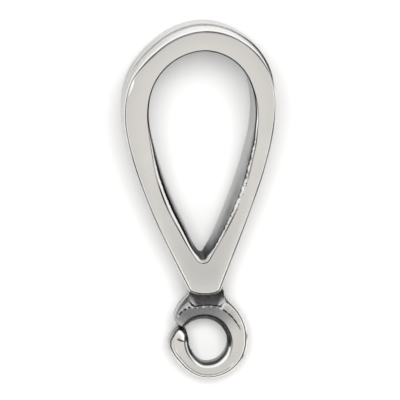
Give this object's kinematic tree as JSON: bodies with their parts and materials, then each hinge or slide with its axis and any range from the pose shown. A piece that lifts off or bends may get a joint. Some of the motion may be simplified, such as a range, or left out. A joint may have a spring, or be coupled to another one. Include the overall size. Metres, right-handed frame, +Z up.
{
  "type": "pendant bail",
  "caption": "Cast pendant bail: a teardrop strap loop for a chain, deeper at its top than at its foot, on a small open eye that a pendant or charm hangs from.",
  "frame": {"origin": "centre of the footprint on the surface that the bail lies on, rear face down", "axes": "+Y along the bail, from the eye to the top of the loop; +Z up, away from the surface; +X across the loop, so that the split of the eye is on the -X side"},
  "size_m": [0.0076, 0.018, 0.0037],
  "materials": {
    "silver": "polished silver, dark in the recesses"
  },
  "bodies": {
    "root": {"bail": "silver"}
  },
  "joints": []
}
